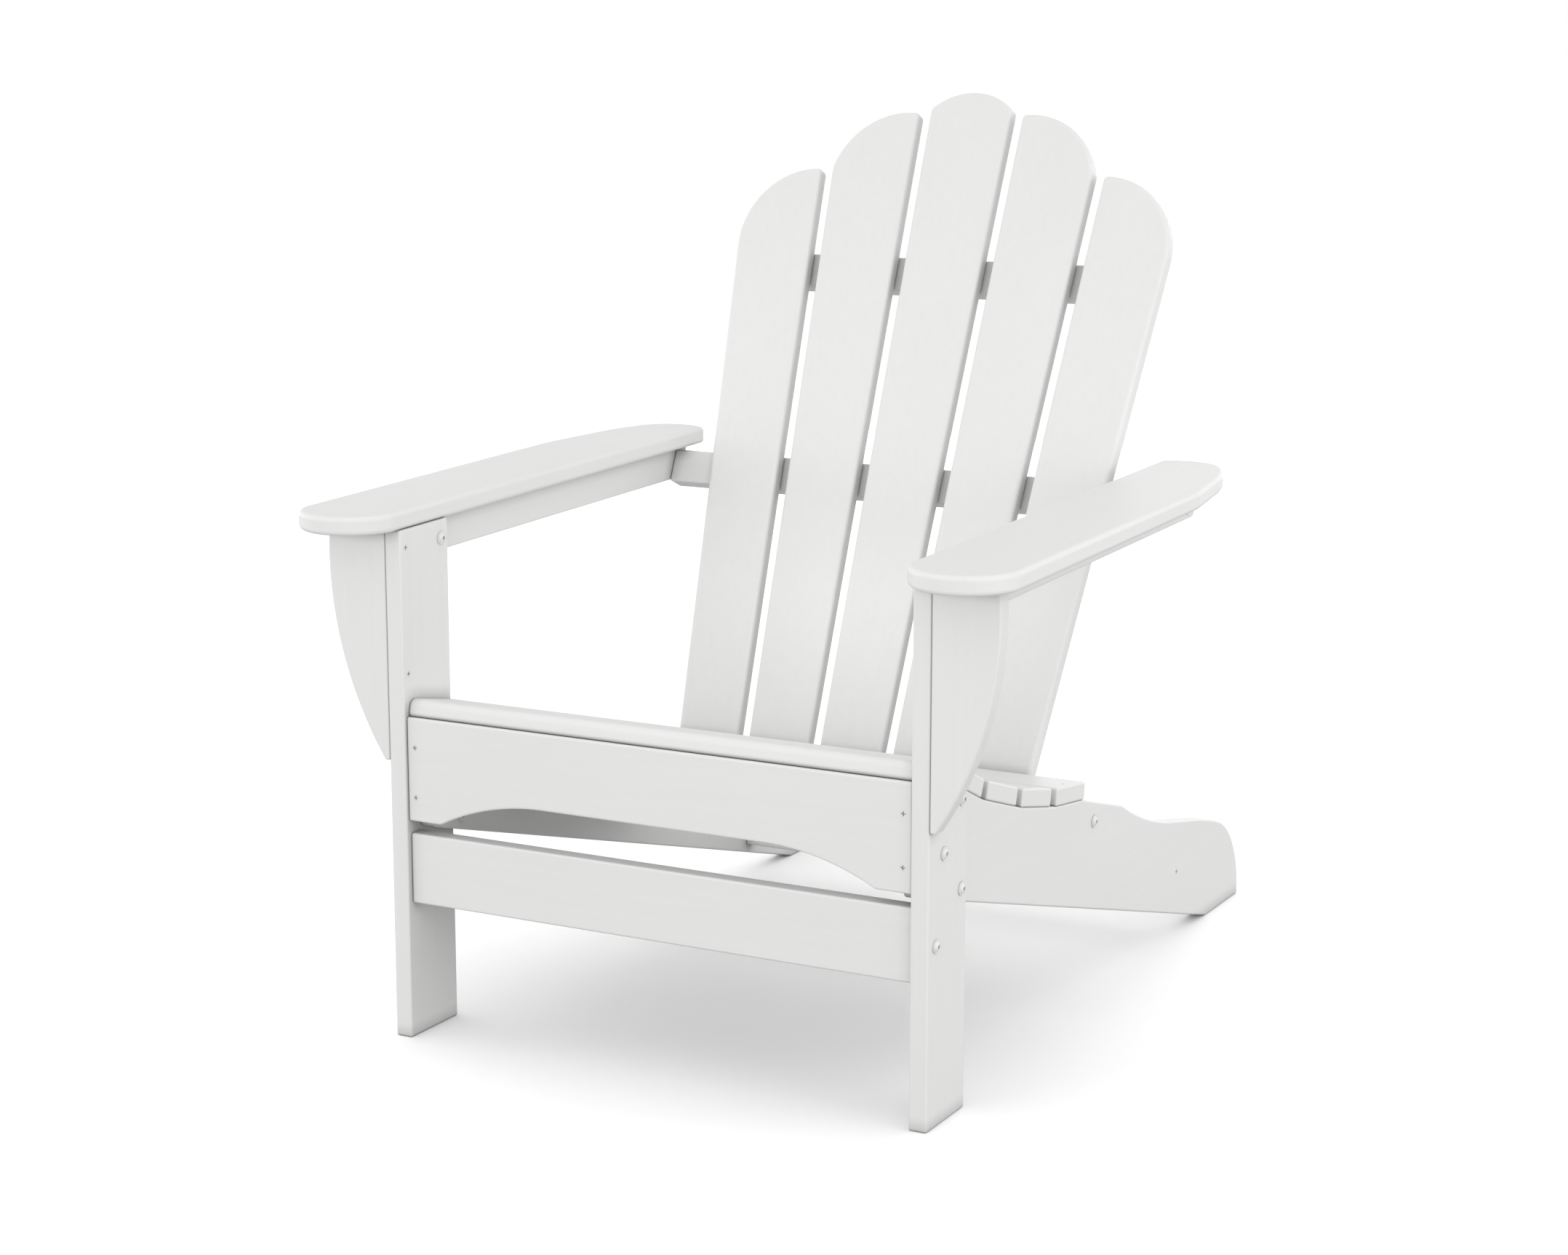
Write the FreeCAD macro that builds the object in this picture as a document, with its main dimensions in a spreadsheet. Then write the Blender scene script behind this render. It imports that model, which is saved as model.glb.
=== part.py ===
import FreeCAD, Part
import math
import os
import Sketcher

# A fan-back garden chair of thick, soft-edged plastic boards. Working frame: X to the sitter's
# left, Y to the rear, Z up, floor at Z 0, fronts of the front legs at Y 0. Every finished piece
# is then moved so that the origin is the middle of the footprint.

SIZES = {
    # stock
    "board": 19.05,
    "rail_thick": 25.4,
    "rail_height": 38.1,
    "ease": 2.4,
    "soft_ease": 5.0,
    "blend": 9.0,
    # seat and frame
    "seat_width": 569.2,
    "seat_height": 336.0,
    "seat_front": 7.0,
    "slat_width": 76.2,
    "nose_top": 8.0,
    "nose_under": 5.0,
    "leg_depth": 84.8,
    # stringers: the long sloping boards from the apron to the rear feet
    "stringer_width": 114.3,
    "foot_front": 801.7,
    "front_round": 8.0,
    "scoop_overhang": 3.2,
    "sweep_start": 270.4,
    "sweep_end": 122.6,
    "sweep_end_height": 142.8,
    "sweep_radius": 573.0,
    "heel_start": 36.7,
    "heel_start_height": 125.2,
    "heel_radius": 690.0,
    "heel_turn": 37.7,
    "heel_turn_height": 105.5,
    "toe_radius": 105.0,
    "heel_reach": 107.9,
    "heel_flat": 12.0,
    # tilt of each seat slat, gap in front of it, and lead of its flat ahead of it, front to rear
    "tilt_1": 11.8,
    "tilt_2": 24.64,
    "tilt_3": 17.68,
    "tilt_4": 12.6,
    "tilt_5": 7.24,
    "gap_2": 8.4,
    "gap_3": 11.9,
    "gap_4": 13.1,
    "gap_5": 15.5,
    "lead_2": 5.0,
    "lead_3": 6.2,
    "lead_4": 0.0,
    "lead_5": 0.0,
    # apron and stretchers
    "apron_setback": 3.8,
    "apron_depth": 105.0,
    "apron_crest": 75.3,
    "apron_tab": 38.6,
    "apron_curve": 121.0,
    "stretcher_setback": 7.0,
    "stretcher_height": 74.0,
    "stretcher_gap": 3.6,
    "rear_stretcher_height": 76.2,
    "rear_stretcher_lead": 100.0,
    "rear_stretcher_rise": 50.3,
    # arms
    "arm_height": 530.9,
    "arm_rise": 1.24,
    "arm_inset": 0.7,
    "arm_width": 109.3,
    "arm_overhang": 54.5,
    "nose_flare": 1.35,
    "arm_tail": 9.3,
    "arm_corner": 5.0,
    "taper_start": 171.6,
    "taper_turn": 81.6,
    "taper_turn_cut": 12.8,
    "taper_radius": 224.0,
    "tail_turn": 26.3,
    "tail_turn_cut": 28.2,
    "tail_flare": 11.15,
    "rail_tail": 1.5,
    "rail_round": 6.0,
    "bracket_width": 68.5,
    "bracket_drop": 238.1,
    "bracket_tip": 6.0,
    "bracket_radius": 380.0,
    # back
    "back_tilt": 23.553,
    "back_gap": 5.1,
    "back_margin": 91.7,
    "back_slat_gap": 14.2,
    "fan_step": 2.0,
    "back_length": 1017.0,
    "arm_clearance": 3.6,
    "upper_rail_drop": 10.8,
    "upper_rail_inset": 19.6,
    # slat tops: how far the outer and inner shoulders lie below the middle slat's, and the crowns
    "outer_drop_0": 0.0,
    "inner_drop_0": 0.0,
    "crown_radius_0": 73.2,
    "outer_drop_1": 70.6,
    "inner_drop_1": 6.7,
    "crown_radius_1": 88.35,
    "outer_drop_2": 163.5,
    "inner_drop_2": 76.8,
    "crown_radius_2": 88.2,
    # bolts and nuts
    "bolt_shank": 6.0,
    "bolt_head": 13.2,
    "bolt_rim": 1.2,
    "bolt_dome": 10.4,
    "bolt_head_height": 4.0,
    "hex_key": 4.0,
    "hex_depth": 2.2,
    "leg_bolt_length": 30.0,
    "arm_bolt_length": 36.0,
    "end_bolt_length": 60.0,
    "nut_sleeve": 8.0,
    "nut_length": 20.0,
    "nut_bore": 14.0,
    "nut_head": 12.0,
    "nut_head_height": 2.0,
    "cross_nut": 10.0,
    "cross_nut_length": 14.0,
    "cross_nut_reach": 51.05,
    "clearance": 0.2,
    # screws
    "screw_shank": 4.0,
    "screw_head": 8.0,
    "screw_head_height": 2.2,
    "screw_point": 3.0,
    "screw_length": 38.1,
    "arm_screw_length": 50.0,
    "cross_slot": 1.1,
    "cross_span": 4.4,
    "cross_depth": 1.6,
    # places of fasteners
    "leg_bolt_inset": 12.8,
    "leg_bolt_lead": 9.65,
    "leg_bolt_margin": 15.0,
    "apron_screw_upper": 27.7,
    "apron_screw_lower": 79.8,
    "bracket_screw_upper": 18.3,
    "bracket_screw_lower": 147.7,
    "back_screw_spread": 18.0,
    "arm_screw_front": 150.0,
    "arm_screw_rear": 400.0,
}

LAYOUT = {
    "half": "=Sizes.seat_width / 2",
    "leg_outer": "=half + Sizes.board",
    "rail_outer": "=leg_outer + Sizes.rail_thick",
    "stringer_inner": "=half - Sizes.board",
    "apron_back": "=Sizes.apron_setback + Sizes.board",
    "arm_slope": "=tan(Sizes.arm_rise * 1deg)",
    # seat slats (front lower edge) and the flats that they rest on, front to rear
    "flat_y_1": "=apron_back",
    "flat_z_1": "=Sizes.seat_height",
    "slat_y_1": "=Sizes.seat_front",
}
for number in range(2, 6):
    ahead = number - 1
    LAYOUT[f"slat_y_{number}"] = (
        f"=slat_y_{ahead} + Sizes.slat_width * cos(Sizes.tilt_{ahead} * 1deg) + Sizes.gap_{number}"
    )
    LAYOUT[f"flat_y_{number}"] = f"=slat_y_{number} - Sizes.lead_{number}"
    LAYOUT[f"flat_z_{number}"] = (
        f"=flat_z_{ahead} - (flat_y_{number} - flat_y_{ahead}) * tan(Sizes.tilt_{ahead} * 1deg)"
    )
for number in range(1, 6):
    LAYOUT[f"slat_z_{number}"] = (
        f"=flat_z_{number} - (slat_y_{number} - flat_y_{number}) * tan(Sizes.tilt_{number} * 1deg)"
    )
LAYOUT.update({
    "seat_end_y": "=slat_y_5 + Sizes.slat_width * cos(Sizes.tilt_5 * 1deg)",
    "seat_end_z": "=slat_z_5 - Sizes.slat_width * sin(Sizes.tilt_5 * 1deg)",
    "scoop_end_y": "=seat_end_y - Sizes.scoop_overhang",
    "scoop_end_z": "=seat_end_z + Sizes.scoop_overhang * tan(Sizes.tilt_5 * 1deg)",
    # the stringer's slope lets a board of the given width reach from the seat to the floor
    "stringer_run": "=Sizes.foot_front - flat_y_2",
    "stringer_reach": "=sqrt(stringer_run * stringer_run + flat_z_2 * flat_z_2)",
    "stringer_tilt": "=(acos(Sizes.stringer_width / stringer_reach)"
                     " - atan(stringer_run / flat_z_2)) / 1deg",
    "stringer_slope": "=tan(stringer_tilt * 1deg)",
    "stringer_upright": "=Sizes.stringer_width / cos(stringer_tilt * 1deg)",
    # the back's plane: front faces of the back slats, measured up from the floor
    "back_sin": "=sin(Sizes.back_tilt * 1deg)",
    "back_cos": "=cos(Sizes.back_tilt * 1deg)",
    "back_foot": "=seat_end_y + Sizes.back_gap - seat_end_z * back_sin / back_cos",
    "cleat_up": "=scoop_end_z / back_cos - Sizes.rail_height",
    "lower_rail_up": "=(Sizes.arm_height + arm_slope * (back_foot + Sizes.board * back_cos)"
                     " + Sizes.board * back_sin - Sizes.arm_clearance)"
                     " / (back_cos - arm_slope * back_sin) - Sizes.rail_height",
    "upper_rail_up": "=Sizes.back_length - Sizes.outer_drop_2 - Sizes.upper_rail_drop"
                     " - Sizes.rail_height",
    "back_slat_foot": "=(Sizes.seat_width - 2 * Sizes.back_margin - 4 * Sizes.back_slat_gap) / 5",
    "back_slat_pitch": "=back_slat_foot + Sizes.back_slat_gap",
    "back_slat_flare": "=tan(Sizes.fan_step / 2 * 1deg)",
    "fan_half": "=2 * back_slat_pitch + back_slat_foot / 2",
    "upper_rail_half": "=fan_half + upper_rail_up * tan(2.5 * Sizes.fan_step * 1deg)"
                       " - Sizes.upper_rail_inset",
    # arms
    "arm_inner": "=half + Sizes.arm_inset",
    "rail_rear": "=back_foot + (lower_rail_up + Sizes.rail_height) * back_sin"
                 " + (Sizes.board + Sizes.rail_thick) * back_cos + Sizes.rail_tail",
    "arm_rear": "=rail_rear + Sizes.arm_tail",
    "nose_radius": "=Sizes.arm_width / 2 + Sizes.nose_flare",
    "nose_start": "=nose_radius - Sizes.arm_overhang"
                  " - sqrt(nose_radius * nose_radius - Sizes.arm_width * Sizes.arm_width / 4)",
    "tail_radius": "=(Sizes.arm_width - Sizes.tail_turn_cut) / 2 + Sizes.tail_flare",
    # stretchers and bolts
    "stretcher_back": "=Sizes.stretcher_setback + Sizes.board",
    "stretcher_top": "=stringer_slope * (Sizes.foot_front - stretcher_back)"
                     " - Sizes.stretcher_gap",
    "rear_stretcher_y": "=Sizes.foot_front - Sizes.rear_stretcher_lead",
    "rear_stretcher_z": "=stringer_slope * Sizes.rear_stretcher_lead + Sizes.rear_stretcher_rise",
    "leg_bolt_front": "=apron_back + Sizes.leg_bolt_lead",
    "leg_bolt_rear": "=Sizes.leg_depth - Sizes.leg_bolt_inset",
    "leg_bolt_low": "=stringer_slope * (Sizes.foot_front - leg_bolt_rear)"
                    " + Sizes.leg_bolt_margin",
    "leg_bolt_high": "=flat_z_1 - (leg_bolt_rear - flat_y_1) * tan(Sizes.tilt_1 * 1deg)"
                     " - Sizes.leg_bolt_margin",
    "arm_bolt_z": "=Sizes.arm_height + arm_slope * leg_bolt_rear - Sizes.rail_height / 2",
    # middle of the footprint
    "middle": "=(Sizes.foot_front + Sizes.heel_reach - Sizes.arm_overhang) / 2",
})

SIDES = {"left": 1, "right": -1}


# ---- document ---------------------------------------------------------------------------------

doc = FreeCAD.newDocument("FanBackChair")


def sheet_of(name, cells):
    """A spreadsheet with one named value to a row."""
    sheet = doc.addObject("Spreadsheet::Sheet", name)
    for row, (alias, value) in enumerate(cells.items(), start=1):
        sheet.set(f"A{row}", alias)
        sheet.set(f"B{row}", str(value))
        sheet.setAlias(f"B{row}", alias)
    return sheet


sizes = sheet_of("Sizes", SIZES)
layout = sheet_of("Layout", LAYOUT)
doc.recompute()


def value(expression):
    """The present value of an expression on the sheets, in mm or degrees."""
    found = layout.evalExpression(str(expression))
    return float(getattr(found, "Value", found))


# ---- sketches and features --------------------------------------------------------------------

PAD_NORMAL = FreeCAD.Vector(0, 0, 1)


def new_body(label, placement=None):
    """An empty body, placed by an expression."""
    body = doc.addObject("PartDesign::Body", "Body_" + label)
    body.Label = label + "_blank"
    if placement:
        body.setExpression("Placement", placement)
    return body


def new_sketch(body, role, offset=None):
    """A sketch on one of the body's own origin planes."""
    planes = {plane.Role: plane for plane in body.Origin.OriginFeatures}
    sketch = body.newObject("Sketcher::SketchObject", body.Name + "_Sketch")
    sketch.AttachmentSupport = [(planes[role], "")]
    sketch.MapMode = "FlatFace"
    if offset:
        sketch.setExpression("AttachmentOffset.Base.z", offset)
    return sketch


def pin(sketch, edge, end, across, up):
    """Ties one end of a sketched edge to two expressions."""
    for kind, expression in (("DistanceX", across), ("DistanceY", up)):
        row = sketch.addConstraint(Sketcher.Constraint(kind, edge, end, value(expression)))
        sketch.setExpression(f"Constraints[{row}]", str(expression))


def arc_between(start, end, radius):
    """The short arc from start to end; a positive radius turns left, a negative one right."""
    chord = end - start
    side = FreeCAD.Vector(-chord.y, chord.x, 0).normalize()
    rise = math.sqrt(radius * radius - chord.Length ** 2 / 4)
    centre = (start + end) / 2 + side * math.copysign(rise, radius)
    angles = [math.atan2(p.y - centre.y, p.x - centre.x) for p in (start, end)]
    if radius < 0:
        angles.reverse()
    return Part.ArcOfCircle(Part.Circle(centre, PAD_NORMAL, abs(radius)), *angles)


def outline(sketch, corners):
    """Draws a closed outline. A corner is (across, up), or (across, up, radius) where the side
    that follows it is an arc of that radius, positive when it turns left."""
    points = [FreeCAD.Vector(value(c[0]), value(c[1]), 0) for c in corners]
    edges = []
    for index, corner in enumerate(corners):
        start = points[index]
        end = points[(index + 1) % len(points)]
        if len(corner) == 2:
            edge = sketch.addGeometry(Part.LineSegment(start, end))
            edges.append((edge, 1, 2))
            continue
        radius = value(corner[2])
        edge = sketch.addGeometry(arc_between(start, end, radius))
        edges.append((edge, 1, 2) if radius > 0 else (edge, 2, 1))
        row = sketch.addConstraint(Sketcher.Constraint("Radius", edge, abs(radius)))
        sketch.setExpression(f"Constraints[{row}]", f"abs({corner[2]})")
    for index, (edge, first, last) in enumerate(edges):
        follower, follower_first, _ = edges[(index + 1) % len(edges)]
        sketch.addConstraint(
            Sketcher.Constraint("Coincident", edge, last, follower, follower_first))
        pin(sketch, edge, first, corners[index][0], corners[index][1])


def circle(sketch, radius):
    """A circle about the sketch's origin."""
    edge = sketch.addGeometry(Part.Circle(FreeCAD.Vector(), PAD_NORMAL, value(radius)))
    row = sketch.addConstraint(Sketcher.Constraint("Radius", edge, value(radius)))
    sketch.setExpression(f"Constraints[{row}]", str(radius))
    sketch.addConstraint(Sketcher.Constraint("Coincident", edge, 3, -1, 1))


def pad(body, sketch, length):
    """A pad to both sides of its sketch."""
    feature = body.newObject("PartDesign::Pad", body.Name + "_Pad")
    feature.Profile = sketch
    feature.SideType = "Symmetric"
    feature.setExpression("Length", str(length))
    body.Tip = feature
    return feature


def cut_through(body, sketch):
    """A pocket right through the body, to both sides of its sketch."""
    doc.recompute()
    before = body.Shape.Volume
    feature = body.newObject("PartDesign::Pocket", body.Name + "_Trim")
    feature.Profile = sketch
    feature.SideType = "Symmetric"
    feature.Type = "ThroughAll"
    body.Tip = feature
    doc.recompute()
    if body.Shape.Volume >= before:
        raise RuntimeError(f"{body.Label}: the trim removes nothing")


def edge_turn(shape, edge):
    """Angle in degrees between the two faces that meet at an edge; 0 for a seam."""
    faces = shape.ancestorsOfType(edge, Part.Face)
    if len(faces) < 2:
        return 0
    point = edge.valueAt((edge.FirstParameter + edge.LastParameter) / 2)
    normals = [face.normalAt(*face.Surface.parameter(point)) for face in faces[:2]]
    return math.degrees(normals[0].getAngle(normals[1]))


SHARP = 30
SHALLOW = 5


def fillet(body, chosen, radius):
    """Rounds the chosen edges of the body's last feature. chosen(edge) answers for one edge."""
    doc.recompute()
    base = body.Tip
    names = [f"Edge{index}" for index, edge in enumerate(base.Shape.Edges, start=1)
             if chosen(base.Shape, edge)]
    feature = body.newObject("PartDesign::Fillet", body.Name + "_Fillet")
    feature.Base = (base, names)
    feature.setExpression("Radius", str(radius))
    body.Tip = feature


def ease(body, radius="Sizes.ease"):
    """Softens every sharp edge, as the boards are moulded."""
    fillet(body, lambda shape, edge: edge_turn(shape, edge) > SHARP, radius)


def blend(body):
    """Rounds the shallow corners of an outline, so that its edge runs on without a break."""
    fillet(body, lambda shape, edge: SHALLOW < edge_turn(shape, edge) <= SHARP, "Sizes.blend")


def passes(point, axis):
    """A test for edges that run along an axis through a point of the body's own frame."""
    def chosen(shape, edge):
        near = edge.distToShape(Part.Vertex(point))[0] < 0.01
        return near and abs(edge.tangentAt(edge.FirstParameter).dot(axis)) > 0.99
    return chosen


X_AXIS = FreeCAD.Vector(1, 0, 0)
Z_AXIS = FreeCAD.Vector(0, 0, 1)


def place(across, rearward, up, turn="rotation(vector(0; 0; 1); 0)"):
    """The expression for a placement."""
    return f"placement(vector({across}; {rearward}; {up}); {turn})"


def about_x(angle):
    return f"rotation(vector(1; 0; 0); {angle})"


def about_y(angle):
    return f"rotation(vector(0; 1; 0); {angle})"


def about_z(angle):
    return f"rotation(vector(0; 0; 1); {angle})"


# ---- boards -----------------------------------------------------------------------------------

boards = {}
drills = {}


def stock(label, role, corners, thickness, placement):
    """A board cut to an outline, its thickness to both sides of the outline's plane."""
    body = new_body(label, placement)
    outline(new_sketch(body, role), corners)
    pad(body, body.Group[-1], thickness)
    boards[label] = body
    drills[label] = []
    return body


def rectangle(width, height):
    """A rectangle from the origin."""
    return [("0", "0"), (width, "0"), (width, height), ("0", height)]


def front_leg(side, sign):
    """Upright board; its top follows the slope of the arm."""
    corners = [
        ("0", "0"),
        ("Sizes.leg_depth", "0"),
        ("Sizes.leg_depth", "Sizes.arm_height + Layout.arm_slope * Sizes.leg_depth"),
        ("0", "Sizes.arm_height"),
    ]
    at = place(f"{sign} * (Layout.half + Sizes.board / 2)", "0", "0")
    ease(stock(f"front_leg_{side}", "YZ_Plane", corners, "Sizes.board", at))


def stringer(side, sign):
    """Sloping board: five flats for the seat slats, a straight run, a hollow sweep and a
    rounded heel over the rear foot."""
    foot = "Sizes.foot_front"
    corners = [(f"Layout.flat_y_{n}", f"Layout.flat_z_{n}") for n in range(1, 6)]
    corners += [
        ("Layout.scoop_end_y", "Layout.scoop_end_z"),
        (f"{foot} - Sizes.sweep_start",
         "Layout.stringer_slope * Sizes.sweep_start + Layout.stringer_upright",
         "Sizes.sweep_radius"),
        (f"{foot} - Sizes.sweep_end", "Sizes.sweep_end_height"),
        (f"{foot} - Sizes.heel_start", "Sizes.heel_start_height", "-Sizes.heel_radius"),
        (f"{foot} + Sizes.heel_turn", "Sizes.heel_turn_height", "-Sizes.toe_radius"),
        (f"{foot} + Sizes.heel_reach", "Sizes.heel_flat"),
        (f"{foot} + Sizes.heel_reach", "0"),
        (foot, "0"),
        ("Layout.apron_back", f"Layout.stringer_slope * ({foot} - Layout.apron_back)"),
    ]
    at = place(f"{sign} * (Layout.half - Sizes.board / 2)", "0", "0")
    body = stock(f"stringer_{side}", "YZ_Plane", corners, "Sizes.board", at)
    corner = FreeCAD.Vector(0, value(corners[-1][0]), value(corners[-1][1]))
    fillet(body, passes(corner, X_AXIS), "Sizes.front_round")
    ease(body)


def arm(side, sign):
    """Flat arm: round nose, straight inner edge, outer edge that tapers to a round tail. The
    right arm is the same board turned over."""
    width = "Sizes.arm_width"
    corners = [
        ("0", "Layout.nose_start", "Layout.nose_radius"),
        (width, "Layout.nose_start"),
        (width, "Layout.arm_rear - Sizes.taper_start"),
        (f"{width} - Sizes.taper_turn_cut", "Layout.arm_rear - Sizes.taper_turn",
         "Sizes.taper_radius"),
        (f"{width} - Sizes.tail_turn_cut", "Layout.arm_rear - Sizes.tail_turn",
         "Layout.tail_radius"),
        ("0", "Layout.arm_rear"),
    ]
    over = 0 if sign > 0 else 180
    turn = about_x("Sizes.arm_rise") + " * " + about_y(over)
    lift = "Sizes.board / 2 / cos(Sizes.arm_rise * 1deg)"
    at = place(f"{sign} * Layout.arm_inner", "0", f"Sizes.arm_height + {lift}", turn)
    body = stock(f"arm_{side}", "XY_Plane", corners, "Sizes.board", at)
    corner = FreeCAD.Vector(0, value("Layout.arm_rear"), 0)
    fillet(body, passes(corner, Z_AXIS), "Sizes.arm_corner")
    blend(body)
    ease(body, "Sizes.soft_ease")


def arm_rail(side, sign):
    """Square rail under the arm, on the outer face of the leg, from the bracket to the back."""
    def under(rearward):
        return f"Sizes.arm_height + Layout.arm_slope * {rearward}"
    drop = "Sizes.rail_height / cos(Sizes.arm_rise * 1deg)"
    corners = [
        ("Sizes.board", under("Sizes.board") + " - " + drop),
        ("Layout.rail_rear", under("Layout.rail_rear") + " - " + drop),
        ("Layout.rail_rear", under("Layout.rail_rear")),
        ("Sizes.board", under("Sizes.board")),
    ]
    at = place(f"{sign} * (Layout.leg_outer + Sizes.rail_thick / 2)", "0", "0")
    body = stock(f"arm_rail_{side}", "YZ_Plane", corners, "Sizes.rail_thick", at)
    corner = FreeCAD.Vector(0, value(corners[1][0]), value(corners[1][1]))
    fillet(body, passes(corner, X_AXIS), "Sizes.rail_round")
    ease(body)


def arm_bracket(side, sign):
    """Curved bracket under the front of the arm, flush with the front of the leg."""
    top = "Sizes.arm_height + Layout.arm_slope * Sizes.board"
    foot = "Sizes.arm_height - Sizes.bracket_drop"
    corners = [
        ("0", foot),
        ("Sizes.bracket_tip", foot, "Sizes.bracket_radius"),
        ("Sizes.bracket_width", top),
        ("0", top),
    ]
    over = 0 if sign > 0 else 180
    at = place(f"{sign} * Layout.leg_outer", "Sizes.board / 2", "0", about_z(over))
    body = stock(f"arm_bracket_{side}", "XZ_Plane", corners, "Sizes.board", at)
    front = f"{-sign} * Sizes.board / 2"
    rear = f"{sign} * Sizes.board / 2"
    outline(new_sketch(body, "YZ_Plane"), [(front, "Sizes.arm_height"), (rear, top), (front, top)])
    cut_through(body, body.Group[-1])
    ease(body)


def apron():
    """Front apron between the legs: two deep tabs and an arched lower edge; its top slopes
    with the first seat slat."""
    top = "Sizes.seat_height + Sizes.board * tan(Sizes.tilt_1 * 1deg)"
    tab = "Sizes.seat_height - Sizes.apron_depth"
    crest = "Sizes.seat_height - Sizes.apron_crest"
    tab_end = "Layout.half - Sizes.apron_tab"
    curve_end = f"{tab_end} - Sizes.apron_curve"
    rise = "(Sizes.apron_depth - Sizes.apron_crest)"
    radius = f"(Sizes.apron_curve * Sizes.apron_curve + {rise} * {rise}) / (2 * {rise})"
    corners = [
        (f"-({tab_end})", tab, f"-{radius}"),
        (f"-({curve_end})", crest),
        (curve_end, crest, f"-{radius}"),
        (tab_end, tab),
        ("Layout.half", tab),
        ("Layout.half", top),
        ("-Layout.half", top),
        ("-Layout.half", tab),
    ]
    at = place("0", "Sizes.apron_setback + Sizes.board / 2", "0")
    body = stock("front_apron", "XZ_Plane", corners, "Sizes.board", at)
    wedge = [("-Sizes.board / 2", top), ("Sizes.board / 2", "Sizes.seat_height"),
             ("Sizes.board / 2", top)]
    outline(new_sketch(body, "YZ_Plane"), wedge)
    cut_through(body, body.Group[-1])
    blend(body)
    ease(body)


def seat_slat(number):
    """Seat slat on its own flat of the stringers; the first one has a rounded nose."""
    width = "Sizes.slat_width"
    corners = rectangle(width, "Sizes.board")
    if number == 1:
        corners = [
            ("Sizes.nose_under", "0"),
            (width, "0"),
            (width, "Sizes.board"),
            ("Sizes.nose_top", "Sizes.board", "Sizes.nose_top"),
            ("0", "Sizes.board - Sizes.nose_top"),
            ("0", "Sizes.nose_under", "Sizes.nose_under"),
        ]
    at = place("0", f"Layout.slat_y_{number}", f"Layout.slat_z_{number}",
               about_x(f"-Sizes.tilt_{number}"))
    ease(stock(f"seat_slat_{number}", "YZ_Plane", corners, "Sizes.seat_width", at))


def on_back(across, up, off, turn=""):
    """A placement on the back: up along it, off rearward from the slats' front faces."""
    rearward = f"Layout.back_foot + ({up}) * Layout.back_sin + ({off}) * Layout.back_cos"
    height = f"({up}) * Layout.back_cos - ({off}) * Layout.back_sin"
    return place(across, rearward, height, about_x("-Sizes.back_tilt") + turn)


def back_rail(label, up, half_length):
    """Rail across the rear of the back slats."""
    body = stock(label, "YZ_Plane", rectangle("Sizes.rail_thick", "Sizes.rail_height"),
                 f"2 * {half_length}", on_back("0", up, "Sizes.board"))
    ease(body)


def back_slat(number):
    """Wedge-shaped slat with a rounded top. Its number counts out from the middle one, left
    positive; the right ones are the same boards turned over."""
    size = abs(number)
    outer = f"(Sizes.back_length - Sizes.outer_drop_{size})"
    inner = f"(Sizes.back_length - Sizes.inner_drop_{size})"

    def half_at(up):
        return f"Layout.back_slat_foot / 2 + Layout.back_slat_flare * {up}"
    corners = [
        (f"-({half_at('Layout.cleat_up')})", "Layout.cleat_up"),
        (half_at("Layout.cleat_up"), "Layout.cleat_up"),
        (half_at(outer), outer, f"Sizes.crown_radius_{size}"),
        (f"-({half_at(inner)})", inner),
    ]
    over = 180 if number < 0 else 0
    turn = f" * {about_y(f'{number} * Sizes.fan_step')} * {about_z(over)}"
    at = on_back(f"{number} * Layout.back_slat_pitch", "0", "Sizes.board / 2", turn)
    body = stock(f"back_slat_{number + 3}", "XZ_Plane", corners, "Sizes.board", at)
    if size == 1:
        blend(body)
    ease(body, "Sizes.soft_ease")


for side, sign in SIDES.items():
    front_leg(side, sign)
    stringer(side, sign)
    arm(side, sign)
    arm_rail(side, sign)
    arm_bracket(side, sign)
apron()
for number in range(1, 6):
    seat_slat(number)
for number in range(-2, 3):
    back_slat(number)
back_rail("back_cleat", "Layout.cleat_up", "Layout.stringer_inner")
back_rail("back_rail_lower", "Layout.lower_rail_up", "Layout.leg_outer")
back_rail("back_rail_upper", "Layout.upper_rail_up", "Layout.upper_rail_half")
ease(stock("front_stretcher", "YZ_Plane", rectangle("Sizes.board", "Sizes.stretcher_height"),
           "Sizes.seat_width",
           place("0", "Sizes.stretcher_setback",
                 "Layout.stretcher_top - Sizes.stretcher_height")))
rear_corners = [
    (f"{a} * Sizes.board / 2", f"{b} * Sizes.rear_stretcher_height / 2")
    for a, b in ((-1, -1), (1, -1), (1, 1), (-1, 1))
]
ease(stock("rear_stretcher", "YZ_Plane", rear_corners, "2 * Layout.stringer_inner",
           place("0", "Layout.rear_stretcher_y", "Layout.rear_stretcher_z",
                 about_x("-Layout.stringer_tilt"))))


# ---- patterns for fasteners -------------------------------------------------------------------
# Each pattern stands with its seat at its own origin, head up and shank down.

def turned(label, corners):
    """A pattern turned about its own upright axis."""
    body = new_body(label)
    sketch = new_sketch(body, "XZ_Plane")
    outline(sketch, corners)
    feature = body.newObject("PartDesign::Revolution", body.Name + "_Turn")
    feature.Profile = sketch
    feature.ReferenceAxis = (sketch, ["V_Axis"])
    body.Tip = feature
    doc.recompute()
    return body


def sunk(body, sketch, depth):
    """A blind recess, down from the sketch."""
    before = body.Shape.Volume
    feature = body.newObject("PartDesign::Pocket", body.Name + "_" + sketch.Name)
    feature.Profile = sketch
    feature.setExpression("Length", depth)
    body.Tip = feature
    doc.recompute()
    if body.Shape.Volume >= before:
        raise RuntimeError(f"{body.Label}: the recess removes nothing")


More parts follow.
